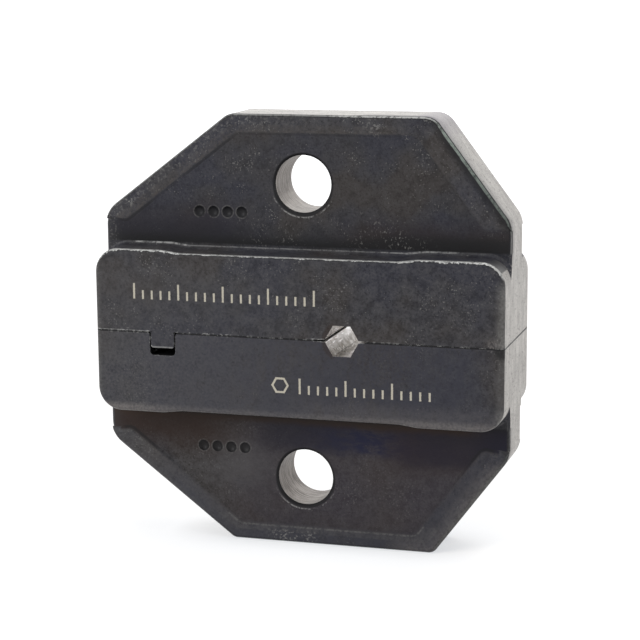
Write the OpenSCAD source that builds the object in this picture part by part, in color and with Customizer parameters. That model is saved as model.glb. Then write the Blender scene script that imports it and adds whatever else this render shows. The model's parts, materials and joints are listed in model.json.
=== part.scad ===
// Two-piece hex crimp die for a ratchet crimp frame.
// Both halves share one blank: a rimmed web with slanted corners, a pin bore through it, and a
// thick jaw block along the parting face. The lower half is the blank turned over about the X axis.
// Frame: X across the jaws, +Y away from the marked face, +Z up, origin in the middle of the
// parting face. Millimetres.

/* [Blank outline] */
// Width over the ground side faces
die_w = 33; // [30:0.5:38]
// Height of one half, from its parting face to its end flat
half_h = 17.15; // [16.5:0.05:20]
// Width taken off the left corner by the long slant
left_cut_w = 10.5; // [9:0.5:12]
// Width taken off the right corner by the short slant
right_cut_w = 6; // [5:0.5:8]
// Height of both slants
cut_h = 8; // [7.5:0.1:8.2]
// Corner radius where a side face meets a slant
shoulder_r = 2.2; // [1:0.1:3]
// Corner radius where a slant meets the upper half's end flat
upper_crown_r = 1.6; // [0.6:0.1:2.5]
// Corner radius where a slant meets the lower half's end flat, which is ground again
lower_crown_r = 0.8; // [0.6:0.1:2.5]

/* [Web and rim] */
// Thickness of the web over its two rims
rim_t = 5; // [4:0.1:6]
// Depth of the panel between the rims, on each face
panel_d = 0.3; // [0.2:0.05:0.5]
// Width of the rim along the end flat
rim_top_w = 1.45; // [1.1:0.05:2]
// Width of the rim along the long slant
rim_left_w = 1.55; // [1.1:0.05:2.2]
// Width of the rim along the short slant
rim_right_w = 2.05; // [1.1:0.05:2.4]
// Width of the soft slope from the rim down to the panel
rim_slope_w = 0.5; // [0.3:0.05:0.8]
// Height of the open gap between the jaw block and the rim's two ends
rim_end_gap = 2; // [1.5:0.1:2.4]
// Rise of a rim end from its inner corner out to the side face
rim_end_rise = 0.45; // [0:0.05:0.6]
// Rounding of the web's outer edges
web_edge_r = 0.3; // [0.1:0.05:0.4]

/* [Jaw block] */
// Height of the jaw block above the parting face
block_h = 6.55; // [5.5:0.05:6.6]
// Thickness of the jaw block, front to back
block_t = 9.7; // [8.5:0.1:12]
// Corner radius at the two ends of the block's shoulder
block_r = 1.9; // [1:0.1:2.5]
// Rounding of the block's face edges
block_edge_r = 0.3; // [0.1:0.05:0.5]
// Radius of the fillet where the block grows out of the web
root_r = 0.35; // [0.3:0.05:0.8]
// Depth of the relief along the middle of the shoulder
relief_d = 0.2; // [0.1:0.02:0.3]
// Distance from the left side face to the relief
relief_left = 5.5; // [4.5:0.1:7]
// Distance from the right side face to the relief
relief_right = 6.7; // [4.5:0.1:8]
// Length of the ramp at each end of the relief
relief_ramp = 1.6; // [1:0.1:2.5]

/* [Pin bore] */
// Diameter of the bore for the tool's retaining pin
bore_d = 4.5; // [3:0.1:5]
// Height of the bore above the parting face
bore_z = 11.75; // [11.2:0.05:12]
// Bevel at both mouths of the bore
bore_bevel = 0.15; // [0.05:0.05:0.4]

/* [Hex nest] */
// Size of the closed nest across its flats
nest_af = 2.4; // [1.5:0.1:4]
// Place of the nest along the jaw
nest_x = 3.8; // [0:0.1:8]
// Length of the shallow lead on each side of the nest
nest_lead_w = 1; // [0.4:0.1:1.5]
// Depth of the lead where it opens into the nest
nest_lead_d = 0.1; // [0.05:0.01:0.15]

/* [Tongue and slot] */
// Place of the tongue along the jaw
tongue_x = -10.9; // [-12:0.1:-8]
// Width of the tongue
tongue_w = 2; // [1.5:0.1:3]
// Height of the tongue
tongue_h = 1.25; // [1:0.05:1.6]
// Corner radius along the tongue's foot
tongue_r = 0.25; // [0.1:0.05:0.4]
// Clearance between the tongue and each wall of the slot
slot_side_gap = 0.05; // [0.02:0.01:0.1]
// Clearance under the tongue when the halves are closed
slot_foot_gap = 0.6; // [0.3:0.05:1]
// Corner radius along the floor of the slot
slot_r = 0.3; // [0.1:0.05:0.5]
// Radius of the slot's two mouth edges
slot_mouth_r = 0.35; // [0.1:0.05:0.5]

/* [Hidden] */
$fn = 96;

steel = [0.23, 0.23, 0.25];

// Turn that one facet of an outline arc covers, in degrees
arc_step = 7;
// Facets across a rounded edge or fillet
edge_facets = 4;
// Facets down the soft slope of the rim
slope_facets = 6;
// How far a cutter reaches past what it cuts
over = 1;

// Half thicknesses, measured from the middle plane of the web
rim_y = rim_t / 2;
panel_y = rim_y - panel_d;
block_y = block_t / 2;

side_x = die_w / 2;
slant_z = half_h - cut_h;
// The web starts inside the block, so its lowest edges are buried
web_foot_z = block_h / 2;

left_foot = [-side_x, slant_z];
left_head = [left_cut_w - side_x, half_h];
right_head = [side_x - right_cut_w, half_h];
right_foot = [side_x, slant_z];

nest_corner = nest_af / 2 / cos(30);
slot_w = tongue_w + 2 * slot_side_gap;
slot_d = tongue_h + slot_foot_gap;
// Depth of the stock below the parting face that the tongue is cut from
stock_z = tongue_h + over;

// Outlines are lists of corners [x, z, radius], counter-clockwise. A radius of 0 is a sharp corner.
// The first corner has to see every other one.
function web_corners(crown_r) = [
    [-side_x, web_foot_z, 0],
    [side_x, web_foot_z, 0],
    [right_foot.x, right_foot.y, shoulder_r],
    [right_head.x, right_head.y, crown_r],
    [left_head.x, left_head.y, crown_r],
    [left_foot.x, left_foot.y, shoulder_r]
];

// The block's outline runs on below the parting face, where the parting profile is cut out of it
block_corners = [
    [-side_x, -stock_z, 0],
    [side_x, -stock_z, 0],
    [side_x, block_h, block_r],
    [side_x - relief_right, block_h, relief_ramp],
    [side_x - relief_right - relief_ramp, block_h - relief_d, relief_ramp],
    [relief_left + relief_ramp - side_x, block_h - relief_d, relief_ramp],
    [relief_left - side_x, block_h, relief_ramp],
    [-side_x, block_h, block_r]
];

rim_end_z = block_h + rim_end_gap;
rim_top_z = half_h - rim_top_w;
// Corner radius where the panel turns out under the rim's ends
rim_end_r = 0.7;
// Corner radius of the panel under the end flat
panel_crown_r = 0.9;

// The panel reaches out past both side faces below the rim's ends
panel_corners = [
    [0, web_foot_z, 0],
    [side_x + over, web_foot_z, 0],
    [side_x + over, rim_end_z + rim_end_rise, 0],
    [line_x(right_head, right_foot, rim_right_w, rim_end_z), rim_end_z, rim_end_r],
    [line_x(right_head, right_foot, rim_right_w, rim_top_z), rim_top_z, panel_crown_r],
    [line_x(left_foot, left_head, rim_left_w, rim_top_z), rim_top_z, panel_crown_r],
    [line_x(left_foot, left_head, rim_left_w, rim_end_z), rim_end_z, rim_end_r],
    [-side_x - over, rim_end_z + rim_end_rise, 0],
    [-side_x - over, web_foot_z, 0]
];

// What is cut away below the upper half: all but the tongue
upper_cut_corners = [
    [-side_x - over, -stock_z - over, 0],
    [side_x + over, -stock_z - over, 0],
    [side_x + over, 0, 0],
    [tongue_x + tongue_w / 2, 0, 0],
    [tongue_x + tongue_w / 2, -tongue_h, tongue_r],
    [tongue_x - tongue_w / 2, -tongue_h, tongue_r],
    [tongue_x - tongue_w / 2, 0, 0],
    [-side_x - over, 0, 0]
];

// What is cut away above the lower half, with the slot
lower_cut_corners = [
    [-side_x - over, 0, 0],
    [tongue_x - slot_w / 2, 0, slot_mouth_r],
    [tongue_x - slot_w / 2, -slot_d, slot_r],
    [tongue_x + slot_w / 2, -slot_d, slot_r],
    [tongue_x + slot_w / 2, 0, slot_mouth_r],
    [side_x + over, 0, 0],
    [side_x + over, stock_z + over, 0],
    [-side_x - over, stock_z + over, 0]
];

// X at height z on the line from p to q after it has moved inwards, to its right, by w
function line_x(p, q, w, z) =
    let (d = (q - p) / norm(q - p), s = [p.x + w * d.y, p.y - w * d.x])
    s.x + (z - s.y) * d.x / d.y;

// Turn from direction a to direction b, in degrees
function turn(a, b) = atan2(a.x * b.y - a.y * b.x, a.x * b.x + a.y * b.y);

// The points of one rounded corner of an outline that has been moved inwards by inset
function corner_points(c, i, inset) =
    let (
        n = len(c),
        p = [c[i].x, c[i].y],
        before = p - [c[(i + n - 1) % n].x, c[(i + n - 1) % n].y],
        after = [c[(i + 1) % n].x, c[(i + 1) % n].y] - p,
        t = turn(before, after),
        first = atan2(before.y, before.x) - 90,
        middle = first + t / 2,
        reach = 1 / cos(t / 2) * [cos(middle), sin(middle)],
        r = t < 0 ? -c[i].z : c[i].z,
        steps = max(1, ceil(abs(t) / arc_step))
    )
    r == 0
        ? [p - inset * reach]
        : [for (k = [0:steps])
            let (a = first + t * k / steps)
            p - r * reach + (r - inset) * [cos(a), sin(a)]];

function outline(corners, inset) =
    [for (i = [0:len(corners) - 1]) each corner_points(corners, i, inset)];

// A solid through a stack of the outline's copies. Each row of profile is [inset, height].
module loft(corners, profile) {
    rings = [for (row = profile)
        [for (p = outline(corners, row[0])) [p.x, p.y, row[1]]]];
    n = len(rings[0]);
    last = (len(rings) - 1) * n;
    rotate([90, 0, 0])
        polyhedron(
            points = [for (ring = rings) each ring],
            faces = concat(
                [[for (i = [0:n - 1]) i]],
                [[for (i = [n - 1:-1:0]) last + i]],
                [for (k = [0:n:last - 1], i = [0:n - 1])
                    [k + i, k + n + i, k + n + (i + 1) % n, k + (i + 1) % n]]
            )
        );
}

// The same profile on both sides of the middle plane, from a list for the positive side
function mirrored(rows) =
    concat([for (i = [len(rows) - 1:-1:0]) [rows[i][0], -rows[i][1]]], rows);

// A quarter round of radius r that ends at height y
function round_rows(r, y) =
    [for (k = [0:edge_facets])
        let (a = 90 * k / edge_facets)
        [r * (1 - cos(a)), y - r * (1 - sin(a))]];

// A fillet of radius r that spreads out of a plane at height y
function fillet_rows(r, y) =
    [for (k = [0:edge_facets])
        let (a = 90 * k / edge_facets)
        [-r * (1 - sin(a)), y + r * (1 - cos(a))]];

// The soft slope of the rim, centred on the panel's outline
function slope_rows() =
    [for (k = [0:slope_facets])
        let (a = 180 * k / slope_facets)
        [rim_slope_w / 2 * cos(a), panel_y + panel_d * (1 - cos(a)) / 2]];

module web(crown_r) {
    loft(web_corners(crown_r), mirrored(round_rows(web_edge_r, panel_y)));
    difference() {
        loft(web_corners(crown_r), mirrored(round_rows(web_edge_r, rim_y)));
        loft(panel_corners, mirrored(concat(slope_rows(), [[-rim_slope_w / 2, rim_y + over]])));
    }
}

module jaw_block() {
    intersection() {
        loft(
            block_corners,
            mirrored(concat(fillet_rows(root_r, panel_y), round_rows(block_edge_r, block_y)))
        );
        translate([-side_x, -block_t, -stock_z - over])
            cube([die_w, 2 * block_t, half_h]);
    }
}

module pin_bore() {
    translate([0, 0, bore_z])
        rotate([90, 0, 0]) {
            cylinder(d = bore_d, h = rim_t + 2 * over, center = true);
            for (side = [0, 180])
                rotate([side, 0, 0])
                    translate([0, 0, panel_y - bore_bevel])
                        cylinder(
                            d1 = bore_d,
                            d2 = bore_d + 2 * (bore_bevel + over),
                            h = bore_bevel + over
                        );
        }
}

module die_blank(crown_r) {
    difference() {
        union() {
            web(crown_r);
            jaw_block();
        }
        pin_bore();
    }
}

// A flat profile in X and Z, run right through the block from front to back
module through_cut() {
    rotate([90, 0, 0])
        linear_extrude(height = block_t + 2 * over, center = true)
            children();
}

// The whole closed nest, of which each half keeps its own side, with a shallow lead at each corner
module hex_nest() {
    through_cut()
        translate([nest_x, 0])
            circle(r = nest_corner, $fn = 6);
    for (side = [-1, 1])
        through_cut()
            translate([nest_x + side * nest_corner, 0])
                polygon([
                    [side * nest_lead_w, 0],
                    [0, nest_lead_d],
                    [-side * nest_lead_w, 0],
                    [0, -nest_lead_d]
                ]);
}

module upper_die_half() {
    color(steel)
        difference() {
            die_blank(upper_crown_r);
            through_cut() polygon(outline(upper_cut_corners, 0));
            hex_nest();
        }
}

module lower_die_half() {
    color(steel)
        difference() {
            rotate([180, 0, 0]) die_blank(lower_crown_r);
            through_cut() polygon(outline(lower_cut_corners, 0));
            hex_nest();
        }
}

upper_die_half();
lower_die_half();
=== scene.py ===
"""Looks of a two-piece hex crimp die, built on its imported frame.

Lengths are metres in the frame's axes: +X across the jaws, +Y to the back, +Z up, origin in the middle
of the parting face. Patterns and masks work in millimetres, on the coordinates of the part itself.
"""

import json
import math

import bmesh
import bpy
from mathutils import Matrix, Vector


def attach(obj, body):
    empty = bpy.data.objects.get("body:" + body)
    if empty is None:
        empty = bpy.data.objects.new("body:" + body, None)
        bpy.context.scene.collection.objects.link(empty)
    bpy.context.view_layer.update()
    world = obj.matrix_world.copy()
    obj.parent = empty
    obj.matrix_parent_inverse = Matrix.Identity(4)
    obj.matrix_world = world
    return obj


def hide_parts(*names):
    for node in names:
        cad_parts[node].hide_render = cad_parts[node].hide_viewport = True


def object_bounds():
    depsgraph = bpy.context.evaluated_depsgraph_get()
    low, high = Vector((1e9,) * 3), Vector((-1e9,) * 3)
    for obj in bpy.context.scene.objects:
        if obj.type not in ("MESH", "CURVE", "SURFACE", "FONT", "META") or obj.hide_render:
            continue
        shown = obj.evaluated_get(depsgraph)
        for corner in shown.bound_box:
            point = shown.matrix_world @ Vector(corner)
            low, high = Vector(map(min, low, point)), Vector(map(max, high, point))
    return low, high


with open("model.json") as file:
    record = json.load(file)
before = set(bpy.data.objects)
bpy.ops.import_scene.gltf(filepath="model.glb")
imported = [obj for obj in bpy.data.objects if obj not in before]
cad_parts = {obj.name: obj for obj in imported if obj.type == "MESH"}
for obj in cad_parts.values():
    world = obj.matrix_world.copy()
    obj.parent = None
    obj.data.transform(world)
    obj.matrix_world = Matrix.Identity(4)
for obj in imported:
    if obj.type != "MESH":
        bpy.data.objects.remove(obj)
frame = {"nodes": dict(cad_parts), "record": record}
cad_low, cad_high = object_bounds()

MM = 0.001


# Sizes of the die in millimetres

def mount(name):
    """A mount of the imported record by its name."""
    return next(m for m in frame["record"]["mounts"] if m["name"] == name)


SIDE_X = cad_high.x / MM
BLOCK_Y = cad_high.y / MM
END_Z = cad_high.z / MM
SHOULDER_Z = mount("upper_shoulder")["pos_m"][2] / MM
RIM_Y = mount("upper_web_back")["pos_m"][1] / MM
BORE_Z = mount("upper_pin_bore")["pos_m"][2] / MM
BORE_R = mount("upper_pin_bore")["dims"]["r_mm"]
NEST_X = mount("hex_nest")["pos_m"][0] / MM

PANEL_DEPTH = 0.3
PANEL_Y = RIM_Y - PANEL_DEPTH
ROOT_R = 0.35
CUT_RISE = 8.0
CUT_Z = END_Z - CUT_RISE
LEFT_CUT = (10.5, CUT_RISE)
RIGHT_CUT = (6.0, CUT_RISE)
NEST_R = 1.39
LEAD_W = 1.0
TONGUE_X, TONGUE_W, TONGUE_H = -10.9, 2.0, 1.25
SLOT_FOOT_GAP = 0.6
SLOT_H = TONGUE_H + SLOT_FOOT_GAP


# Punch marks: a row of four round dimples on the front of each panel

DIMPLE_X = [-8.55, -7.38, -6.21, -5.04]
DIMPLE_H = {"upper_die_half": 9.4, "lower_die_half": 9.65}
DIMPLE_R = 0.43
DIMPLE_DEPTH = 0.2
BALL_R = (DIMPLE_R ** 2 + DIMPLE_DEPTH ** 2) / (2 * DIMPLE_DEPTH)


def side_of(node):
    """1 for the upper half and -1 for the lower one."""
    return 1 if node == "upper_die_half" else -1


def punch_balls(node):
    """The tips of the punch, as balls that stand in the panel."""
    work = bmesh.new()
    for x in DIMPLE_X:
        place = Vector((x, -PANEL_Y - BALL_R + DIMPLE_DEPTH, side_of(node) * DIMPLE_H[node])) * MM
        bmesh.ops.create_icosphere(
            work, subdivisions=4, radius=BALL_R * MM, matrix=Matrix.Translation(place),
        )
    mesh = bpy.data.meshes.new("punch_balls")
    work.to_mesh(mesh)
    work.free()
    balls = bpy.data.objects.new("punch_balls", mesh)
    bpy.context.scene.collection.objects.link(balls)
    return balls


# Visible bodies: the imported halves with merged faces, punch marks and smooth normals

SHARP_ANGLE = math.radians(33)
FLAT_ANGLE = math.radians(0.1)
FLAT_GAP = 1e-6
MERGE_GAP = 1e-7
NORMAL_WEIGHT = 90


def merge_flat_faces(mesh):
    """Joins the triangles of each flat face, and drops the normals that belonged to them."""
    mesh.attributes.remove(mesh.attributes["custom_normal"])
    work = bmesh.new()
    work.from_mesh(mesh)
    bmesh.ops.remove_doubles(work, verts=work.verts, dist=MERGE_GAP)
    for y in (-BLOCK_Y * MM, BLOCK_Y * MM):
        flat = [face for face in work.faces if all(abs(v.co.y - y) < FLAT_GAP for v in face.verts)]
        bmesh.ops.dissolve_faces(work, faces=flat)
    bmesh.ops.dissolve_limit(work, angle_limit=FLAT_ANGLE, verts=work.verts, edges=work.edges)
    work.to_mesh(mesh)
    work.free()


def apply_modifiers(thing):
    """Gives an object the mesh that its modifiers make, and clears them."""
    graph = bpy.context.evaluated_depsgraph_get()
    mesh = bpy.data.meshes.new_from_object(thing.evaluated_get(graph))
    thing.modifiers.clear()
    thing.data = mesh
    return mesh


def dressed_half(node, name):
    """A copy of a packed half with merged faces, its punch marks and smooth normals."""
    mesh = frame["nodes"][node].data.copy()
    merge_flat_faces(mesh)
    half = bpy.data.objects.new(name, mesh)
    bpy.context.scene.collection.objects.link(half)

    balls = punch_balls(node)
    punch = half.modifiers.new("punch", "BOOLEAN")
    punch.object = balls
    punch.operation = "DIFFERENCE"
    punch.solver = "EXACT"
    mesh = apply_modifiers(half)
    bpy.data.objects.remove(balls)
    mesh.name = name

    mesh.shade_smooth()
    mesh.set_sharp_from_angle(angle=SHARP_ANGLE)
    mesh.materials.clear()
    normals = half.modifiers.new("even_normals", "WEIGHTED_NORMAL")
    normals.keep_sharp = True
    normals.weight = NORMAL_WEIGHT
    normals.thresh = 0.0
    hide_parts(node)
    return half


# Shader arithmetic

FAR = 9.0  # added to a distance, it takes a point out of every mask


class Field:
    """A number that varies over a surface: a shader socket with plain arithmetic."""

    def __init__(self, tree, socket):
        self.tree, self.socket = tree, socket

    def op(self, kind, *others):
        """A Math node of this kind on the field and up to two more values."""
        node = self.tree.nodes.new("ShaderNodeMath")
        node.operation = kind
        for slot, value in zip(node.inputs, (self, *others)):
            if isinstance(value, Field):
                self.tree.links.new(value.socket, slot)
            else:
                slot.default_value = value
        return Field(self.tree, node.outputs[0])

    def __add__(self, other):
        return self.op("ADD", other)

    __radd__ = __add__

    def __sub__(self, other):
        return self.op("SUBTRACT", other)

    def __rsub__(self, other):
        return (self * -1.0) + other

    def __mul__(self, other):
        return self.op("MULTIPLY", other)

    __rmul__ = __mul__

    def __truediv__(self, other):
        return self.op("DIVIDE", other)

    def __abs__(self):
        return self.op("ABSOLUTE")

    def lower_of(self, other):
        return self.op("MINIMUM", other)

    def higher_of(self, other):
        return self.op("MAXIMUM", other)

    def rise(self, start, end):
        """0 up to start, 1 from end, and smooth between them."""
        node = self.tree.nodes.new("ShaderNodeMapRange")
        node.interpolation_type = "SMOOTHSTEP"
        self.tree.links.new(self.socket, node.inputs["Value"])
        node.inputs["From Min"].default_value = start
        node.inputs["From Max"].default_value = end
        return Field(self.tree, node.outputs["Result"])

    def fall(self, start, end):
        """1 up to start, 0 from end, and smooth between them."""
        return 1.0 - self.rise(start, end)

    def band(self, low, high, soft):
        """1 between low and high, with soft edges outside them."""
        return self.rise(low - soft, low) * self.fall(high, high + soft)


def hypot(a, b):
    """The length of (a, b), each a field."""
    return (a * a + b * b).op("SQRT")


class Skin:
    """One procedural material under construction, with the fields that its layers use."""

    def __init__(self, name, half):
        self.half = half
        self.material = bpy.data.materials.new(name)
        self.material.use_nodes = True
        self.tree = self.material.node_tree
        self.tree.nodes.clear()
        coords = self.tree.nodes.new("ShaderNodeTexCoord")
        grown = self.tree.nodes.new("ShaderNodeVectorMath")
        grown.operation = "SCALE"
        grown.inputs["Scale"].default_value = 1 / MM
        self.tree.links.new(coords.outputs["Object"], grown.inputs[0])
        self.place = grown.outputs[0]
        self.x, self.y, self.z = self.parts(self.place)
        _, self.ny, self.nz = self.parts(coords.outputs["Normal"])
        self.depth = abs(self.y)
        self.forward = self.y * -1.0
        self.height = self.z * half
        self.up = self.nz * half
        self.face = abs(self.ny)
        self.inset = self.outline_inset()
        self.from_bore = hypot(self.x, self.height - BORE_Z)
        self.soft_normal, self.edge = self.soft_edges()
        self.sparkle = self.noise(5.0, 2, 0.6, shift=(0, 9, 4))
        self.patchy = self.noise(1.3, 3, 0.6, stretch=(1, 0.3, 0.3)) * 0.5 + self.sparkle * 0.5
        self.wander = self.noise(1.4, 3, 0.6, stretch=(1, 0.2, 0.2), shift=(8, 0, 0)) - 0.5
        self.on_web = self.height.rise(SHOULDER_Z + 0.15, SHOULDER_Z + 0.4)
        self.on_block = self.depth.rise(BLOCK_Y - 0.35, BLOCK_Y - 0.3)

    def parts(self, vector):
        """The three parts of a vector as fields."""
        node = self.tree.nodes.new("ShaderNodeSeparateXYZ")
        self.tree.links.new(vector, node.inputs[0])
        return [Field(self.tree, out) for out in node.outputs]

    def outline_inset(self):
        """How far inside the web's outline a point is, by its sides, slants and end flat."""
        inset = (SIDE_X - abs(self.x)).lower_of(END_Z - self.height)
        for (width, rise), way in ((LEFT_CUT, -1), (RIGHT_CUT, 1)):
            length = math.hypot(width, rise)
            along_x, along_z = rise / length, width / length
            reach = SIDE_X * along_x + (END_Z - rise) * along_z
            inset = inset.lower_of(reach - self.x * (way * along_x) - self.height * along_z)
        return inset

    def soft_edges(self):
        """A normal that rounds every sharp edge a little, and a mask of those edges."""
        bevel = self.tree.nodes.new("ShaderNodeBevel")
        bevel.samples = 6
        bevel.inputs["Radius"].default_value = 0.055 * MM
        geometry = self.tree.nodes.new("ShaderNodeNewGeometry")
        dot = self.tree.nodes.new("ShaderNodeVectorMath")
        dot.operation = "DOT_PRODUCT"
        self.tree.links.new(bevel.outputs[0], dot.inputs[0])
        self.tree.links.new(geometry.outputs["Normal"], dot.inputs[1])
        return bevel.outputs[0], Field(self.tree, dot.outputs["Value"]).fall(0.86, 0.985)

    def noise(self, scale, detail=2.0, rough=0.5, stretch=(1, 1, 1), shift=(0, 0, 0), warp=0.0):
        """Noise between 0 and 1, with scale in cycles per millimetre."""
        spot = self.tree.nodes.new("ShaderNodeMapping")
        spot.inputs["Scale"].default_value = stretch
        spot.inputs["Location"].default_value = shift
        self.tree.links.new(self.place, spot.inputs["Vector"])
        node = self.tree.nodes.new("ShaderNodeTexNoise")
        node.inputs["Scale"].default_value = scale
        node.inputs["Detail"].default_value = detail
        node.inputs["Roughness"].default_value = rough
        node.inputs["Distortion"].default_value = warp
        self.tree.links.new(spot.outputs[0], node.inputs["Vector"])
        return Field(self.tree, node.outputs["Fac"])

    def near(self, x, z, reach, soft):
        """1 within reach of a spot on the front, and 0 beyond soft more."""
        return hypot(self.x - x, self.z - z).fall(reach, reach + soft) * self.forward.rise(0.5, 1.0)

    def number(self, value):
        """A plain number as a field, to be blended with others."""
        node = self.tree.nodes.new("ShaderNodeValue")
        node.outputs[0].default_value = value
        return Field(self.tree, node.outputs[0])

    def color(self, rgb):
        """A plain colour as a socket, to be mixed with others."""
        node = self.tree.nodes.new("ShaderNodeRGB")
        node.outputs[0].default_value = (*rgb, 1.0)
        return node.outputs[0]

    def mix_color(self, mask, below, above):
        """The colour below, or the one above where mask is 1."""
        node = self.tree.nodes.new("ShaderNodeMix")
        node.data_type = "RGBA"
        self.tree.links.new(mask.socket, node.inputs["Factor"])
        self.tree.links.new(below, node.inputs[6])
        self.tree.links.new(above, node.inputs[7])
        return node.outputs[2]

    def finish(self, look):
        """Puts a look on the shader and gives the material."""
        shader = self.tree.nodes.new("ShaderNodeBsdfPrincipled")
        shader.inputs["Specular IOR Level"].default_value = 0.2
        self.tree.links.new(look.color, shader.inputs["Base Color"])
        self.tree.links.new(look.metal.socket, shader.inputs["Metallic"])
        self.tree.links.new(look.rough.socket, shader.inputs["Roughness"])
        bump = self.tree.nodes.new("ShaderNodeBump")
        bump.inputs["Strength"].default_value = 1.0
        bump.inputs["Distance"].default_value = MM
        self.tree.links.new(look.height.socket, bump.inputs["Height"])
        self.tree.links.new(self.soft_normal, bump.inputs["Normal"])
        self.tree.links.new(bump.outputs[0], shader.inputs["Normal"])
        out = self.tree.nodes.new("ShaderNodeOutputMaterial")
        self.tree.links.new(shader.outputs[0], out.inputs["Surface"])
        return self.material


class Look:
    """What a surface is like: colour, metal, roughness and height in millimetres."""

    def __init__(self, skin, color, metal, rough, height):
        self.skin, self.color = skin, color
        self.metal, self.rough, self.height = metal, rough, height

    def under(self, mask, top):
        """This finish with another one over it where mask is 1."""
        def blend(a, b):
            return a + (b - a) * mask
        return Look(
            self.skin, self.skin.mix_color(mask, self.color, top.color),
            blend(self.metal, top.metal), blend(self.rough, top.rough),
            blend(self.height, top.height),
        )

    def stained(self, mask, rgb):
        """The same finish in another colour where mask is 1."""
        color = self.skin.mix_color(mask, self.color, self.skin.color(rgb))
        return Look(self.skin, color, self.metal, self.rough, self.height)


# Finishes of the steel. Colours are linear.

NEUTRAL_OXIDE = (0.0290, 0.0280, 0.0330)
WARM_OXIDE = (0.0340, 0.0290, 0.0275)
COOL_OXIDE = (0.0235, 0.0240, 0.0350)
STEEL_OXIDE = (0.0365, 0.0370, 0.0500)
RUSSET_OXIDE = (0.0430, 0.0330, 0.0370)
# Pale oxide, also used as painted light on faces that the lamps leave dim
PALE_OXIDE_AND_LIGHT = (0.0950, 0.0930, 0.0980)
BROWN_BLOOM = (0.0240, 0.0120, 0.0070)
UMBER_BLOOM = (0.0190, 0.0082, 0.0050)
BLUE_BLOOM = (0.0075, 0.0085, 0.0290)
NAVY_BLOOM = (0.0045, 0.0038, 0.0125)
RUSSET_BLOOM = (0.0200, 0.0110, 0.0120)
PURPLE_BLOOM = (0.0100, 0.0086, 0.0165)
BROWN_EDGE = (0.0950, 0.0830, 0.0740)
GREEN_EDGE = (0.3400, 0.4100, 0.3600)
FLECK = (0.230, 0.225, 0.215)
# Warm light flecks, also used for the painted reflection of the floor on the lower block's edge
WARM_FLECK_AND_REFLECTION = (0.235, 0.215, 0.205)
# Pale steel of rubbed edges, also used for painted highlights and sheen
SCUFF_AND_SHEEN = (0.450, 0.450, 0.440)
DULL_STEEL = (0.190, 0.165, 0.130)
LEAD_STEEL = (0.460, 0.440, 0.420)
# Near-black for soot, dark oxide and dark joints, and also for painted shade in creases, recesses and
# beside the block
SOOT_AND_SHADE = (0.0050, 0.0050, 0.0060)


def oxide(skin, pale, seed):
    """Black oxide: charcoal in warm and cool clouds, with fine grain and light flecks."""
    cloud = skin.noise(0.16, 3, 0.55, shift=(seed, 3, seed))
    mottle = skin.noise(1.1, 4, 0.7, shift=(0, seed, 0))
    grain = skin.noise(4.6, 3, 0.75, shift=(seed, 0, 0))
    crowd = skin.noise(0.35, 3, 0.6, shift=(0, 0, seed + 9)).rise(0.38, 0.70)
    fleck = skin.noise(6.5, 1, 0.6, shift=(3, 7, seed))
    bright = 0.65 if skin.half > 0 else 0.45
    color = skin.mix_color(cloud.rise(0.48, 0.62), skin.color(NEUTRAL_OXIDE), skin.color(WARM_OXIDE))
    color = skin.mix_color(cloud.fall(0.38, 0.50), color, skin.color(COOL_OXIDE))
    haze = (grain * 0.5 + mottle * 0.5).rise(0.36, 0.80) * pale
    color = skin.mix_color(haze, color, skin.color(PALE_OXIDE_AND_LIGHT))
    color = skin.mix_color(grain.fall(0.30, 0.46) * 0.5, color, skin.color(SOOT_AND_SHADE))
    color = skin.mix_color(mottle.fall(0.34, 0.50) * 0.3, color, skin.color(SOOT_AND_SHADE))
    color = skin.mix_color((fleck + crowd * 0.16).rise(0.72, 0.86) * bright, color, skin.color(FLECK))
    return Look(
        skin, color, skin.number(0.0), 0.60 - grain * 0.2,
        (grain - 0.5) * 0.012 + (mottle - 0.5) * 0.010,
    )


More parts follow.
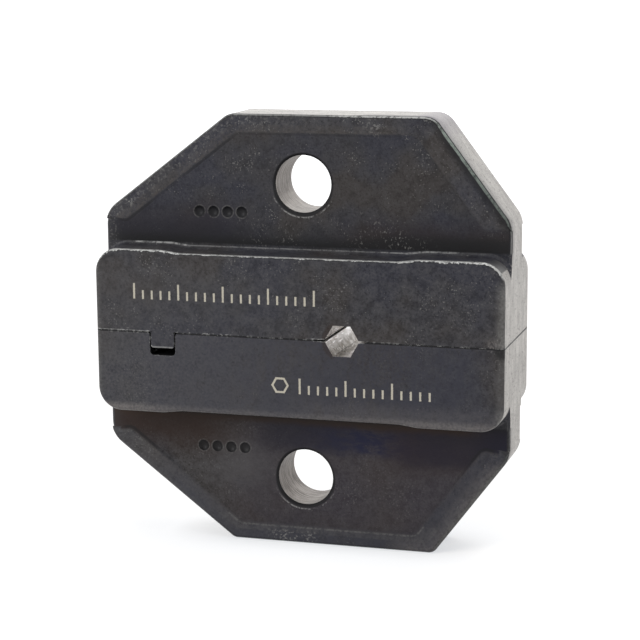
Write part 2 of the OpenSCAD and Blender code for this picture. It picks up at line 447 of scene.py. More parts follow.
def bloomed_and_shaded(skin, look):
    """Brown and blue bloom of the oxide, which shows on the panel next to the block, with painted shade
    and a painted shadow that darken the panel toward the block.
    """
    above = skin.height - SHOULDER_Z
    drift = (skin.noise(0.3, 3, 0.6, shift=(0, 4, 1)) - 0.5) * 2.4
    if skin.half > 0:
        dusk = (above + drift).fall(1.2, 5.0) * skin.x.fall(-8, -2)
        look = look.stained(dusk * 0.85, PURPLE_BLOOM)
        look = look.stained((above + drift).fall(0.6, 3.4) * skin.x.rise(1, 6) * 0.65, BROWN_BLOOM)
        look = look.stained((above + drift).fall(0.6, 4.5) * skin.x.rise(6, 9) * 0.35, PURPLE_BLOOM)
        # Painted shade on the panel toward the block, and a painted shadow right beside it
        look = look.stained((above + drift * 0.4).fall(0.8, 2.6) * 0.4, SOOT_AND_SHADE)
        shadow = (above - skin.x.rise(3, 8) * 0.5).fall(ROOT_R + 0.05, 1.3)
        return look.stained(shadow * 0.87, SOOT_AND_SHADE)
    look = look.stained((above + drift).fall(1.5, 5.0) * skin.x.fall(-9, -4) * 0.9, UMBER_BLOOM)
    clouds = skin.noise(1.0, 4, 0.7, stretch=(0.6, 1, 1.4), shift=(6, 0, 2)).rise(0.36, 0.62)
    navy = (above + drift * 0.7).band(1.1, 2.4, 1.3) * skin.x.rise(-2, 5) * skin.x.fall(9, 14)
    veil = (above + drift * 0.7).band(1.1, 2.4, 1.3) * skin.x.rise(-6, -2) * skin.x.fall(2, 6)
    look = look.stained(veil * 0.7, NAVY_BLOOM)
    look = look.stained(navy * (clouds * 0.6 + 0.4), BLUE_BLOOM)
    dusk = skin.x.rise(5, 9) * (above + drift).fall(2.5, 5.5)
    look = look.stained(dusk * 0.7, RUSSET_BLOOM)
    deep = skin.x.rise(6, 11) * (above + drift * 0.5).band(1.4, 3.2, 1.0)
    look = look.stained(deep * 0.6, NAVY_BLOOM)
    # Brown tint with painted shade right beside the block
    brown_and_shade_by_block = (above + drift * 0.3).fall(0.6, 1.3) * skin.x.fall(12.5, 14.5)
    look = look.stained(brown_and_shade_by_block * 0.9, BROWN_BLOOM)
    corner = skin.x.rise(SIDE_X - 4.0, SIDE_X - 0.8) * skin.height.fall(CUT_Z - 0.8, CUT_Z + 0.8)
    look = look.stained(corner * 0.85, NAVY_BLOOM)
    # Painted shade at the root of the block
    return look.stained(above.fall(ROOT_R, 0.8) * 0.4, SOOT_AND_SHADE)


def ground(skin, cloudy=0.25):
    """Ground steel: light, with fine grinding lines, clouds and dark pits."""
    lines = skin.noise(2.4, 3, 0.7, stretch=(0.2, 6.0, 0.2))
    cloud = skin.noise(0.5, 3, 0.6, stretch=(1, 2.2, 1))
    grain = skin.noise(5.0, 3, 0.7, stretch=(1, 0.5, 1), shift=(2, 5, 1))
    color = skin.mix_color(
        (lines * (0.62 - cloudy) + cloud * cloudy + grain * 0.38).rise(0.36, 0.64),
        skin.color((0.26, 0.248, 0.235)), skin.color((0.57, 0.548, 0.52)),
    )
    color = skin.mix_color(grain.rise(0.52, 0.64) * 0.7, color, skin.color((0.12, 0.113, 0.107)))
    look = Look(
        skin, color, skin.number(0.7), 0.42 + lines * 0.18,
        (lines - 0.5) * 0.007 + (grain - 0.5) * 0.010,
    )
    front = skin.on_web * skin.forward.rise(RIM_Y - 1.6, RIM_Y - 0.2) * skin.x.rise(3.5, 5.5)
    look = look.stained(front * (0.55 + skin.up.rise(0.75, 0.95) * 0.4), (0.08, 0.078, 0.08))
    crown = skin.height.rise(END_Z - 2.6, END_Z - 0.2) * skin.x.rise(8.5, 10.0)
    return look.stained(crown * 0.5, (0.21, 0.195, 0.225))


def turned(skin):
    """The pin bore: grey steel with turning marks round its axis, made lighter toward its bottom as
    painted light.
    """
    rings = skin.noise(2.0, 3, 0.7, stretch=(0.25, 2.8, 0.25), warp=0.8)
    # Painted light: the lower part of the bore is made lighter
    low = (skin.z - BORE_Z * skin.half).fall(-1.9, 0.4)
    color = skin.mix_color(
        rings.rise(0.36, 0.62) * 0.68 + low * (skin.half * 0.11 + 0.21),
        skin.color((0.125, 0.106, 0.094)), skin.color((0.46, 0.427, 0.400)),
    )
    return Look(skin, color, skin.number(0.6), 0.38 + rings * 0.2, (rings - 0.5) * 0.03)


def bare(skin):
    """Bare bright steel of the nest, with glints."""
    scuff = skin.noise(2.2, 3, 0.6, stretch=(1, 0.22, 1), shift=(1, 0, 6))
    glint = skin.noise(4.5, 2, 0.6, stretch=(1, 0.2, 1), shift=(5, 2, 0)).rise(0.54, 0.62)
    color = skin.mix_color(
        scuff.rise(0.36, 0.56), skin.color((0.66, 0.62, 0.58)), skin.color((0.88, 0.855, 0.845)),
    )
    color = skin.mix_color(glint * 0.7, color, skin.color((1.0, 1.0, 1.0)))
    return Look(skin, color, skin.number(0.9), 0.42 - glint * 0.2, (scuff - 0.5) * 0.03 + glint * 0.01)


def wear_and_sheen(skin):
    """Oxide rubbed through to pale steel along an edge; the same look also paints highlight lines and
    sheen.
    """
    return Look(
        skin, skin.color(SCUFF_AND_SHEEN), skin.number(0.35), skin.number(0.42), skin.number(0.0),
    )


# Marks on the front face of the blocks and panels

ETCH = (0.57, 0.53, 0.44)
STROKE = 0.16
TICK_PITCH = 0.74
TICK_TALL, TICK_SHORT = 1.25, 0.7
TICKS_PER_TALL = 5
UPPER_SCALE = (-13.2, 1.6, 2.62)
LOWER_SCALE = (0.4, 10.8, -4.35)
HEXAGON = (-1.2, -3.72, 0.62)


def ruled_scale(skin, start, end, foot):
    """Graduation ticks from start to end, every fifth one tall, standing on height foot."""
    ragged = (skin.noise(9.0, 1) - 0.5) * 0.05
    step = (skin.x - start) / TICK_PITCH
    nearest = step.op("ROUND")
    off = abs(step - nearest) * TICK_PITCH + ragged
    tall = (nearest / TICKS_PER_TALL).op("FRACT").fall(0.05, 0.1)
    top = tall * (TICK_TALL - TICK_SHORT) + (foot + TICK_SHORT)
    across = off.fall(STROKE / 2 - 0.02, STROKE / 2 + 0.02)
    rows = (skin.z + ragged).rise(foot - 0.02, foot + 0.02) * (top - skin.z + ragged).rise(-0.02, 0.02)
    begun = skin.x.rise(start - STROKE, start - STROKE + 0.02)
    return across * rows * (begun * skin.x.fall(end + STROKE, end + STROKE + 0.02))


def hexagon_sign(skin, x, z, apothem):
    """The outline of a small hexagon."""
    across, rise = abs(skin.x - x), abs(skin.z - z)
    reach = rise.higher_of(across * math.cos(math.radians(30)) + rise * 0.5)
    ragged = (skin.noise(9.0, 1) - 0.5) * 0.05
    return (abs(reach - apothem + STROKE / 2) + ragged).fall(STROKE / 2 - 0.02, STROKE / 2 + 0.02)


def etched(skin):
    """The mask of all etched marks of one half."""
    if skin.half > 0:
        marks = ruled_scale(skin, *UPPER_SCALE)
    else:
        marks = ruled_scale(skin, *LOWER_SCALE).higher_of(hexagon_sign(skin, *HEXAGON))
    front = skin.forward.rise(BLOCK_Y - 0.02, BLOCK_Y - 0.005)
    return marks * front


def punched(skin, node):
    """How far a point is from the centre of the nearest punch mark."""
    nearest = None
    for x in DIMPLE_X:
        away = hypot(skin.x - x, skin.height - DIMPLE_H[node])
        nearest = away if nearest is None else nearest.lower_of(away)
    return nearest + skin.forward.fall(0.5, 1.0) * FAR


# Layers of the finish, from the broad ones to the marks

def base_layers(skin):
    """Oxide of the block and rims, paler toward the left as painted light, and of the panel between them.
    """
    upper = skin.half > 0
    inner = skin.inset.rise(0.75, 0.9)
    flat_panel = skin.depth.fall(PANEL_Y + 0.02, PANEL_Y + 0.06) * skin.face.rise(0.97, 0.99)
    in_panel = skin.on_web * flat_panel.higher_of(inner * skin.depth.fall(PANEL_Y + 0.08, RIM_Y - 0.04))
    look = oxide(skin, 0.78, 2.0)
    if not upper:
        worn_middle = skin.x.band(-9, 12, 5) * (skin.patchy.rise(0.30, 0.66) * 0.75 + 0.20)
        look = look.stained(worn_middle, STEEL_OXIDE)
    # Painted light: the front is made paler toward the left, as if lit from that side
    painted_left_light = skin.x.fall(-15, 10) * (skin.height.fall(4.6, 6.0) * 0.16 + 0.06 if upper else 0.38)
    look = look.stained(painted_left_light * (skin.sparkle.rise(0.30, 0.70) + 0.5), PALE_OXIDE_AND_LIGHT)
    panel = oxide(skin, 0.46 if upper else 0.95, 5.0)
    if not upper:
        panel = panel.stained(skin.x.rise(-9, -4) * 0.5, RUSSET_OXIDE)
        pale_part = hypot(skin.x + 5.5, (skin.z + 11.0) * 1.3).fall(0.0, 4.5) * 0.45
        panel = panel.stained(pale_part, PALE_OXIDE_AND_LIGHT)
    panel = bloomed_and_shaded(skin, panel)
    if upper:
        streak = skin.noise(6.0, 2, 0.7, stretch=(1, 1, 0.7), shift=(2, 0, 0)).rise(0.58, 0.70)
        crowd = skin.noise(0.3, 1, 0.5, shift=(7, 0, 0)).rise(0.36, 0.60) * skin.x.band(-2.0, 8.0, 4.0)
        rows = streak * crowd * skin.height.fall(SHOULDER_Z + 1.2, SHOULDER_Z + 4.0)
        panel = panel.stained(rows * 0.8, FLECK)
    return look.under(in_panel, panel)


def rim_layers(skin, look):
    """The soft slope of the rim, with a brown crest, a dark foot painted as shade, paler down-facing
    faces painted as light, and scuffs on the rim.
    """
    upper = skin.half > 0
    inner = skin.inset.rise(0.75, 0.9) * skin.height.rise(SHOULDER_Z + 1.2, SHOULDER_Z + 1.6)
    slope = skin.on_web * inner * skin.depth.rise(PANEL_Y + 0.01, PANEL_Y + 0.05)
    patch = skin.noise(0.35, 2, 0.5, shift=(2, 6, 1))
    # Painted shade along the foot of the slope, where it meets the panel
    foot = skin.depth.fall(PANEL_Y + 0.08, PANEL_Y + 0.24) * patch.rise(0.20, 0.5)
    foot = foot * abs(skin.x).fall(SIDE_X - 1.4, SIDE_X - 0.9)
    if upper:
        strength = 0.65 - skin.x.rise(6, 9) * 0.45 - skin.height.rise(14.8, 15.4) * 0.30
    else:
        strength = skin.height.fall(CUT_Z, CUT_Z + 2.5) * 0.65 + 0.05
    look = look.stained(slope * foot * strength.higher_of(0.05), SOOT_AND_SHADE)
    crown = skin.depth.band(PANEL_Y + 0.18, RIM_Y - 0.02, 0.05) * skin.patchy.rise(0.35, 0.6)
    brown = 0.42 - skin.x.rise(5, 8) * 0.27 if upper else skin.number(0.25)
    look = look.stained(slope * crown * brown, BROWN_EDGE)
    # Painted light: faces of the rim that look down are made paler
    under = skin.on_web * (skin.inset - 0.2).fall(0.75, 0.95) * skin.up.fall(-0.35, -0.15)
    look = look.stained(under * skin.depth.band(PANEL_Y + 0.02, RIM_Y - 0.02, 0.02) * 0.4, PALE_OXIDE_AND_LIGHT)
    if upper:
        rub_and_sheen = skin.near(-14.3, 10.1, 0.1, 0.5).higher_of(skin.near(5.9, 16.35, 0.1, 1.1) * 0.8)
    else:
        rub_and_sheen = skin.near(-0.9, -16.6, 1.0, 1.6) * skin.inset.fall(0.9, 1.1)
        hair = skin.depth.band(RIM_Y - 0.07, RIM_Y - 0.02, 0.03)
        hair = hair * skin.height.rise(END_Z - 2.2, END_Z - 2.0)
        look = look.stained(slope * hair * (skin.patchy.rise(0.38, 0.62) * 0.8 + 0.2) * 0.38, FLECK)
    return look.stained(rub_and_sheen * skin.sparkle.rise(0.52, 0.64) * 0.8, FLECK)


def ledge_layers(skin, look):
    """The root between block and web, dark as painted shade, with a painted highlight line on the fillet
    where it meets the panel.
    """
    upper = skin.half > 0
    ledge = skin.height.rise(SHOULDER_Z - 0.35, SHOULDER_Z - 0.25)
    ledge = ledge * skin.depth.fall(BLOCK_Y - 0.3, BLOCK_Y - 0.2)
    root = ledge * skin.height.fall(SHOULDER_Z + ROOT_R, SHOULDER_Z + ROOT_R + 0.2)
    # Painted shade in the root
    look = look.stained(root * 0.22, SOOT_AND_SHADE)
    curved = skin.face.fall(0.990, 0.998)
    # Painted highlight along the root fillet
    line = root * curved * (skin.face + skin.wander * 0.10).band(0.88, 1.1, 0.05)
    parts = skin.x.band(-13.9, -9.8, 0.2) * 0.45 + skin.x.band(6.5, 11.5, 1.0) * 0.16
    rest = skin.x.band(-9.8, 12.0, 1.0) * 0.18 + 0.06
    strength = parts + rest if upper else skin.number(0.1)
    return look.under(line * skin.patchy.rise(0.34, 0.56) * strength, wear_and_sheen(skin))


def rounding_layers(skin, look):
    """The dark roundings of web and block, with thin lines along them that are partly rubbed steel and
    partly painted highlight, and a painted sheen on the top edge.
    """
    upper = skin.half > 0
    rounding = skin.on_web * skin.inset.fall(0.6, 0.7) * skin.face.fall(0.97, 0.995)
    slant = skin.x.rise(SIDE_X - 7, SIDE_X - 5) * skin.height.rise(SHOULDER_Z + 1.5, SHOULDER_Z + 2.5)
    inside = skin.on_web * skin.inset.fall(0.35, 0.95) * slant
    look = look.stained(inside * (0.8 if upper else 0.15), SOOT_AND_SHADE)
    look = look.stained(rounding * (0.85 if upper else 0.5), SOOT_AND_SHADE)
    # Lines along the roundings: rubbed steel, and painted highlight where the rounding turns toward the
    # light
    line = rounding * (skin.face + skin.wander * 0.15 - slant * 0.20).band(0.50, 0.74, 0.06)
    strength = slant * (skin.height.rise(9, 16) * 0.34 - 0.10) + 0.42 if upper else skin.number(0.16)
    rub_and_sheen = wear_and_sheen(skin).stained(slant * 0.8, GREEN_EDGE)
    look = look.under(line * (skin.patchy.rise(0.34, 0.56) * 0.7 + 0.3) * strength, rub_and_sheen)
    if upper:
        # Painted sheen on the up-facing rounding of the top edge
        sheen = rounding * skin.up.rise(0.4, 0.6) * skin.x.band(3.5, 9.5, 2.0)
        sheen = sheen * skin.sparkle.rise(0.40, 0.52) * skin.face.rise(0.40, 0.60)
        look = look.under(sheen * 0.7, wear_and_sheen(skin))

    edge = skin.depth.rise(BLOCK_Y - 0.31, BLOCK_Y - 0.28) * skin.face.fall(0.985, 0.998)
    if upper:
        look = look.stained(edge * skin.up.rise(0.1, 0.4) * 0.6, SOOT_AND_SHADE)
    beads = skin.sparkle.rise(0.36, 0.56) * 0.55 + 0.5
    reach = skin.face + skin.wander * 0.8 - (skin.sparkle - 0.5) * 0.5 - skin.x.rise(10, 14) * 0.08
    # Crest of the block: rubbed steel, and painted highlight on the part of the rounding that faces up
    crest = edge * skin.up.rise(0.2, 0.4) * reach.band(-0.10, 0.70, 0.10)
    rub_and_sheen = skin.patchy.rise(0.28, 0.46) * beads
    return look.under(crest * rub_and_sheen * (1.0 if upper else 0.25), wear_and_sheen(skin))


def haze_and_reflection_layers(skin, look):
    """Lighter oxide at the handled ends of the block and along the outer edges of the web, painted light
    along the web's left side, and a painted reflection of the floor on the lower block's edge.
    """
    upper = skin.half > 0
    speck = skin.sparkle.rise(0.25, 0.70) * 0.7 + 0.6
    clouds = skin.noise(0.9, 3, 0.6, shift=(4, 4, 0)).rise(0.35, 0.65) * 0.5 + 0.75
    ends = skin.x.rise(SIDE_X - 0.95, SIDE_X + 0.05) * clouds
    ends = ends * (skin.height.fall(4.4, 5.4) * 0.50 if upper else skin.height.rise(4, 6) * 0.30 + 0.24)
    ends = ends + skin.x.fall(0.05 - SIDE_X, 0.6 - SIDE_X) * 0.16
    look = look.stained(skin.on_block * ends * speck, FLECK)
    arc = skin.face.fall(0.2, 0.4) * skin.x.rise(SIDE_X - 1.7, SIDE_X - 0.4)
    look = look.stained(arc * skin.height.fall(SHOULDER_Z + 0.05, SHOULDER_Z + 0.15) * 0.40, FLECK)
    # Painted light: a pale band along the left side of the web, standing in for the light on its rounding
    side = skin.on_web * skin.x.fall(-SIDE_X, 1.5 - SIDE_X) * skin.height.fall(CUT_Z, CUT_Z + 2)
    look = look.stained(side * (0.28 if upper else 0.15), PALE_OXIDE_AND_LIGHT)
    if upper:
        rim = skin.on_web * skin.inset.fall(0.6, 1.2) * skin.x.fall(-6, 3)
        return look.stained(rim * skin.sparkle.rise(0.52, 0.66) * 0.35, FLECK)
    # Painted reflection of the white floor on the lower block's down-facing edge
    floor_reflection = skin.on_block * skin.height.band(SHOULDER_Z - 0.30, SHOULDER_Z + 0.5, 0.6)
    floor_reflection = floor_reflection * (skin.x.fall(-15, -9) * 0.28 + skin.x.rise(0, 14) * 0.14 + 0.24)
    look = look.stained(floor_reflection * speck, WARM_FLECK_AND_REFLECTION)
    low_end = skin.on_block * skin.height.band(5.6, SHOULDER_Z, 1.2) * skin.x.rise(-3, 5)
    look = look.stained(low_end * speck * 0.12, WARM_FLECK_AND_REFLECTION)
    rim = skin.on_web * skin.inset.fall(0.1, 1.5) * skin.height.rise(CUT_Z - 0.2, CUT_Z + 1.2)
    look = look.stained(rim * skin.x.rise(6, 9) * speck * 0.30, WARM_FLECK_AND_REFLECTION)
    return look.stained(rim * skin.inset.fall(0.0, 0.6) * skin.x.fall(-9, -7) * 0.6, PALE_OXIDE_AND_LIGHT)


def outline_layers(skin, look):
    """The ground outline of web and block."""
    sideways = skin.face.fall(0.10, 0.30)
    arc = 0.35 if skin.half > 0 else 0.8
    end_arcs = abs(skin.x).rise(SIDE_X - arc, SIDE_X - arc * 0.35)
    end_arcs = end_arcs * skin.height.fall(SHOULDER_Z + 0.05, SHOULDER_Z + 0.15)
    return look.under(sideways * skin.inset.fall(0.30, 0.36).higher_of(end_arcs), ground(skin))


def bore_layers(skin, look):
    """The pin bore, with a black bevel at its mouths and rubbed arcs under it."""
    from_bore = skin.from_bore
    low = (skin.z - BORE_Z * skin.half).fall(-1.6, 0.4)
    look = look.stained((from_bore - low * 0.06).fall(BORE_R + 0.14, BORE_R + 0.27) * 0.9, SOOT_AND_SHADE)
    arcs = (from_bore + skin.wander * 0.1).band(BORE_R + 0.34, BORE_R + 0.40, 0.04)
    foot = (skin.z - BORE_Z * skin.half).fall(-1.6, -0.8)
    look = look.under(arcs * foot * skin.patchy.rise(0.44, 0.58) * 0.5, wear_and_sheen(skin))
    inside = from_bore.fall(BORE_R + 0.17, BORE_R + 0.21) * skin.face.fall(0.3, 0.5)
    return look.under(inside, turned(skin))


def nest_layers(skin, look):
    """Ground parting faces, the bare nest with dull patches, its duller leads, and painted shade in the
    tongue's slot.
    """
    inward = skin.face.fall(0.3, 0.6)
    look = look.under(skin.height.fall(0.004, 0.008) * inward, ground(skin, cloudy=0.12))
    from_nest = hypot(skin.x - NEST_X, skin.z)
    around = from_nest.fall(NEST_R + LEAD_W, NEST_R + LEAD_W + 0.1)
    look = look.under(around * inward, bare(skin))
    patches = skin.noise(1.6, 2, 0.6, shift=(4, 0, 1)).rise(0.35, 0.6) * 0.5 + 0.5
    dull = (skin.z + (skin.x - NEST_X) * 0.5).fall(-1.35, -0.80) * patches
    look = look.stained(around * inward * dull * 0.8, DULL_STEEL)
    leads = around * inward * from_nest.rise(NEST_R, NEST_R + 0.04)
    look = look.stained(leads * 0.85, LEAD_STEEL)
    walls = around * inward * abs(skin.up).fall(0.90, 0.97)
    look = look.stained(walls * skin.height.fall(0.09, 0.13), SOOT_AND_SHADE)
    # Painted shade inside the slot that takes the tongue
    slot_shade = abs(skin.x - TONGUE_X).fall(TONGUE_W / 2 + 0.2, TONGUE_W / 2 + 0.3) * inward
    look = look.stained(slot_shade * skin.z.band(-SLOT_H - 0.1, -TONGUE_H + 0.05, 0.05), SOOT_AND_SHADE)
    mouth = (from_nest - NEST_R).fall(0.1, 0.3) * skin.face.rise(0.6, 0.8)
    return look.stained(mouth * (skin.x - NEST_X).fall(-0.9, -0.4) * 0.5, BROWN_BLOOM)


def joint_layers(skin, look):
    """The joint between the halves: a dark hairline with rubbed lines and spots beside it, and a painted
    highlight at the foot of the tongue.
    """
    side = abs(skin.x).rise(SIDE_X - 0.35, SIDE_X - 0.3)
    front = skin.on_block
    outside = front.higher_of(side)
    off_tongue = abs(skin.x - TONGUE_X) - TONGUE_W / 2
    in_tongue = off_tongue.fall(-0.3, -0.1)
    along = abs(skin.z) + in_tongue * FAR
    flank = abs(off_tongue) + skin.z.rise(-0.1, 0.02) * FAR
    flank = flank + skin.z.fall(-TONGUE_H - 0.05, -TONGUE_H) * FAR
    tip = abs(skin.z + TONGUE_H) + off_tongue.rise(-0.15, 0.0) * FAR
    joint = along.lower_of(flank)

    spots = skin.patchy.rise(0.51, 0.60) * (skin.x.fall(-4.5, -3.0) * 0.45 + 0.12)
    look = look.under(front * joint.band(0.03, 0.10, 0.03) * spots, wear_and_sheen(skin))
    if skin.half > 0:
        left_line = skin.x.fall(TONGUE_X - 1.2, TONGUE_X - 1.0) * skin.patchy.rise(0.36, 0.50) * 0.4
        right_line = skin.x.band(NEST_X + 2.4, NEST_X + 4.2, 0.8) * skin.patchy.rise(0.44, 0.56) * 0.3
        lines = left_line.higher_of(right_line)
        look = look.under(front * along.band(0.02, 0.09, 0.03) * lines, wear_and_sheen(skin))
        # Painted highlight along the foot of the tongue
        tongue_foot_highlight = tip.band(0.0, 0.10, 0.04) * skin.patchy.rise(0.30, 0.50)
        look = look.under(front * tongue_foot_highlight * 0.4, wear_and_sheen(skin))
    lead = skin.x.band(NEST_X - 2.3, NEST_X - NEST_R, 0.3) * skin.patchy.rise(0.40, 0.54)
    look = look.under(front * (along + skin.wander * 0.1).band(0.06, 0.11, 0.03) * lead * 0.5, wear_and_sheen(skin))
    width = 0.045 if skin.half > 0 else 0.095
    hairline = (joint + (skin.patchy - 0.5) * 0.05).fall(width - 0.02, width + 0.02)
    look = look.stained(outside * hairline, SOOT_AND_SHADE)
    if skin.half > 0:
        smear = skin.near(SIDE_X - 0.9, 0.15, 0.1, 0.8) * skin.sparkle.rise(0.40, 0.62)
        return look.stained(smear * 0.45, WARM_FLECK_AND_REFLECTION)
    return look.stained(skin.near(SIDE_X, -0.1, 0.5, 0.5) * front * 0.85, SOOT_AND_SHADE)


def mark_layers(skin, look, node):
    """Rubbed sharp edges, punch marks darkened inside as painted shade, and etched marks."""
    chips = skin.edge * skin.patchy.rise(0.48, 0.58)
    look = look.under(chips * skin.height.fall(2.0, 2.2) * 0.8, wear_and_sheen(skin))
    from_punch = punched(skin, node)
    # Painted shade inside each punch mark
    look = look.stained(from_punch.fall(DIMPLE_R, DIMPLE_R + 0.06) * 0.85, SOOT_AND_SHADE)
    lip = from_punch.band(DIMPLE_R + 0.03, DIMPLE_R + 0.09, 0.04) * skin.patchy.rise(0.40, 0.60)
    look = look.stained(lip * 0.25, FLECK)
    etch = Look(skin, skin.color(ETCH), skin.number(0.0), skin.number(0.6), skin.number(-0.004))
    return look.under(etched(skin) * (skin.sparkle.rise(0.2, 0.4) * 0.25 + 0.75), etch)


def die_steel(name, node):
    """The whole finish of one half."""
    skin = Skin(name, side_of(node))
    look = base_layers(skin)
    for layer in (
        rim_layers, ledge_layers, rounding_layers, haze_and_reflection_layers, outline_layers, bore_layers,
        nest_layers, joint_layers,
    ):
        look = layer(skin, look)
    return skin.finish(mark_layers(skin, look, node))


for node, name, body in (
    ("upper_die_half", "upper_die", "upper_die"),
    ("lower_die_half", "lower_die", "lower_die"),
):
    half = dressed_half(node, name)
    half.data.materials.append(die_steel(name + "_steel", node))
    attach(half, body)


# Floor

FLOOR_HALF = 4.0
FLOOR_GAP = 0.00001
PAPER_GREY = (0.80, 0.80, 0.80, 1)
PAPER_SHADED = (0.46, 0.41, 0.36, 1)
PAPER_GLOW = (0.725, 0.76, 0.80, 1)
GLOW_NEAR, GLOW_FAR = 0.05, 0.4
GLOW_GROWS_TO = 1.42
CONTACT_REACH = 0.0035
CONTACT_FROM, CONTACT_TO = 0.3, 0.95
CONTACT_DIMS_TO = 0.76


def seen_directly(nodes, links):
    """1 for rays from the camera, mirrors and glass, which see the white background."""
    path = nodes.new("ShaderNodeLightPath")
    total = path.outputs["Is Camera Ray"]
    for kind in ("Is Glossy Ray", "Is Transmission Ray"):
        either = nodes.new("ShaderNodeMath")
        either.operation = "MAXIMUM"
        links.new(total, either.inputs[0])
        links.new(path.outputs[kind], either.inputs[1])
        total = either.outputs[0]
    return total


def paper():
    """White paper that keeps a faint cool shadow near the die, with a painted contact shadow close to it,
    and is plain white far away.
    """
    material = bpy.data.materials.new("paper")
    material.use_nodes = True
    nodes, links = material.node_tree.nodes, material.node_tree.links
    nodes.clear()
    plain = nodes.new("ShaderNodeBsdfDiffuse")
    plain.inputs["Color"].default_value = PAPER_GREY
    shaded = nodes.new("ShaderNodeBsdfDiffuse")
    shaded.inputs["Color"].default_value = PAPER_SHADED
    glow = nodes.new("ShaderNodeEmission")
    glow.inputs["Color"].default_value = PAPER_GLOW
    place = nodes.new("ShaderNodeTexCoord")
    away = nodes.new("ShaderNodeVectorMath")
    away.operation = "LENGTH"
    level = nodes.new("ShaderNodeMapRange")
    level.inputs["From Min"].default_value = GLOW_NEAR
    level.inputs["From Max"].default_value = GLOW_FAR
    level.inputs["To Min"].default_value = 1.0
    level.inputs["To Max"].default_value = GLOW_GROWS_TO
    links.new(place.outputs["Object"], away.inputs[0])
    links.new(away.outputs["Value"], level.inputs["Value"])
    # Painted contact shadow: ambient occlusion dims the glow close to the die
    covered = nodes.new("ShaderNodeAmbientOcclusion")
    covered.samples = 8
    covered.inputs["Distance"].default_value = CONTACT_REACH
    contact = nodes.new("ShaderNodeMapRange")
    contact.inputs["From Min"].default_value = CONTACT_FROM
    contact.inputs["From Max"].default_value = CONTACT_TO
    contact.inputs["To Min"].default_value = CONTACT_DIMS_TO
    contact.inputs["To Max"].default_value = 1.0
    strength = nodes.new("ShaderNodeMath")
    strength.operation = "MULTIPLY"
    links.new(covered.outputs["AO"], contact.inputs["Value"])
    links.new(level.outputs[0], strength.inputs[0])
    links.new(contact.outputs[0], strength.inputs[1])
    links.new(strength.outputs[0], glow.inputs["Strength"])
    lit = nodes.new("ShaderNodeAddShader")
    pick = nodes.new("ShaderNodeMixShader")
    out = nodes.new("ShaderNodeOutputMaterial")
    links.new(shaded.outputs[0], lit.inputs[0])
    links.new(glow.outputs[0], lit.inputs[1])
    links.new(seen_directly(nodes, links), pick.inputs[0])
    links.new(plain.outputs[0], pick.inputs[1])
    links.new(lit.outputs[0], pick.inputs[2])
    links.new(pick.outputs[0], out.inputs["Surface"])
    return material


def make_floor():
    """The sheet of paper under the die."""
    mesh = bpy.data.meshes.new("floor")
    corners = [(-1, -1), (1, -1), (1, 1), (-1, 1)]
    z = cad_low.z - FLOOR_GAP
    mesh.from_pydata([(FLOOR_HALF * a, FLOOR_HALF * b, z) for a, b in corners], [], [(0, 1, 2, 3)])
    floor = bpy.data.objects.new("floor", mesh)
    bpy.context.scene.collection.objects.link(floor)
    mesh.materials.append(paper())


make_floor()


# Light

ROOM_LIGHT = 0.15
WHITE = (1, 1, 1, 1)


def softbox(name, power, size, place):
    """A soft white area lamp that faces the die."""
    light = bpy.data.lights.new(name, "AREA")
    light.shape = "RECTANGLE"
    light.size, light.size_y = size
    light.energy = power
    lamp = bpy.data.objects.new(name, light)
    lamp.location = place
    lamp.rotation_euler = (-Vector(place)).to_track_quat("-Z", "Y").to_euler()
    bpy.context.scene.collection.objects.link(lamp)


softbox("top_light", 1.3, (0.5, 0.4), (0.05, 0.05, 0.5))
softbox("back_light", 0.62, (0.6, 0.3), (0.0, 0.5, 0.28))
softbox("right_light", 0.68, (0.3, 0.3), (0.5, -0.05, 0.15))
softbox("front_light", 1.85, (0.3, 0.3), (-0.35, -0.4, 0.25))


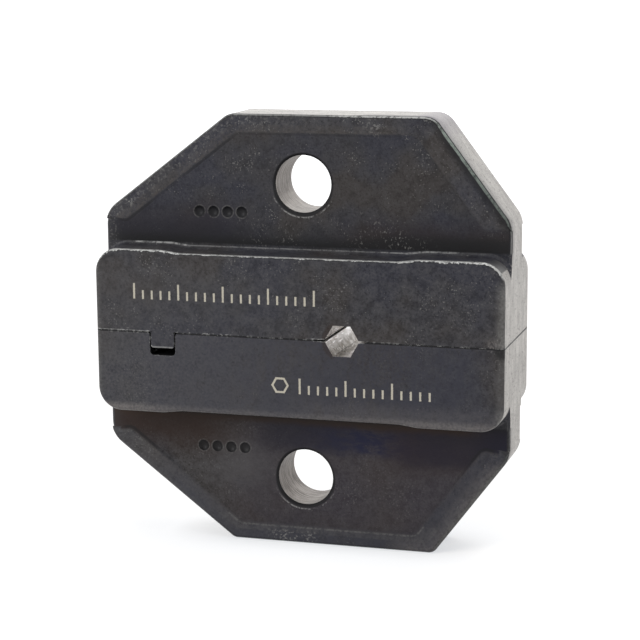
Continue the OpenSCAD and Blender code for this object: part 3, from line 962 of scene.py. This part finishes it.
def make_world():
    """A dim white room, which the camera, mirrors and glass see as plain white."""
    world = bpy.data.worlds.new("studio")
    bpy.context.scene.world = world
    world.use_nodes = True
    nodes, links = world.node_tree.nodes, world.node_tree.links
    nodes.clear()
    room = nodes.new("ShaderNodeBackground")
    room.inputs["Color"].default_value = WHITE
    room.inputs["Strength"].default_value = ROOM_LIGHT
    white = nodes.new("ShaderNodeBackground")
    white.inputs["Color"].default_value = WHITE
    white.inputs["Strength"].default_value = 1.0
    pick = nodes.new("ShaderNodeMixShader")
    out = nodes.new("ShaderNodeOutputWorld")
    links.new(seen_directly(nodes, links), pick.inputs[0])
    links.new(room.outputs[0], pick.inputs[1])
    links.new(white.outputs[0], pick.inputs[2])
    links.new(pick.outputs[0], out.inputs["Surface"])


make_world()


# Camera, at the photograph's viewing angle

IMAGE_PIXELS = 640
FOCAL_PIXELS = 1959.1
SENSOR_MM = 36.0
CAMERA_DISTANCE = 156.21 * MM
CAMERA_YAW = math.radians(16.411)
CAMERA_PITCH = math.radians(10.729)
CAMERA_ROLL = math.radians(-0.411)
CAMERA_SHIFT = (0.631 * MM, 0.603 * MM)
CLIP_NEAR, CLIP_FAR = 0.01, 10


def make_camera():
    """The fitted camera: its distance, angles and shift put the die where the photograph has it."""
    data = bpy.data.cameras.new("camera")
    data.sensor_width = SENSOR_MM
    data.lens = FOCAL_PIXELS * SENSOR_MM / IMAGE_PIXELS
    data.clip_start = CLIP_NEAR
    data.clip_end = CLIP_FAR
    camera = bpy.data.objects.new("camera", data)
    back = Vector((
        math.sin(CAMERA_YAW) * math.cos(CAMERA_PITCH),
        -math.cos(CAMERA_YAW) * math.cos(CAMERA_PITCH),
        math.sin(CAMERA_PITCH),
    ))
    right = Vector((0, 0, 1)).cross(back).normalized()
    up = back.cross(right)
    place = back * CAMERA_DISTANCE + right * CAMERA_SHIFT[0] + up * CAMERA_SHIFT[1]
    turn = Matrix.Rotation(CAMERA_ROLL, 3, "Z")
    axes = Matrix((right, up, back)).transposed() @ turn
    camera.matrix_world = Matrix.Translation(place) @ axes.to_4x4()
    bpy.context.scene.collection.objects.link(camera)
    bpy.context.scene.camera = camera


make_camera()
bpy.context.scene.view_settings.view_transform = "Standard"
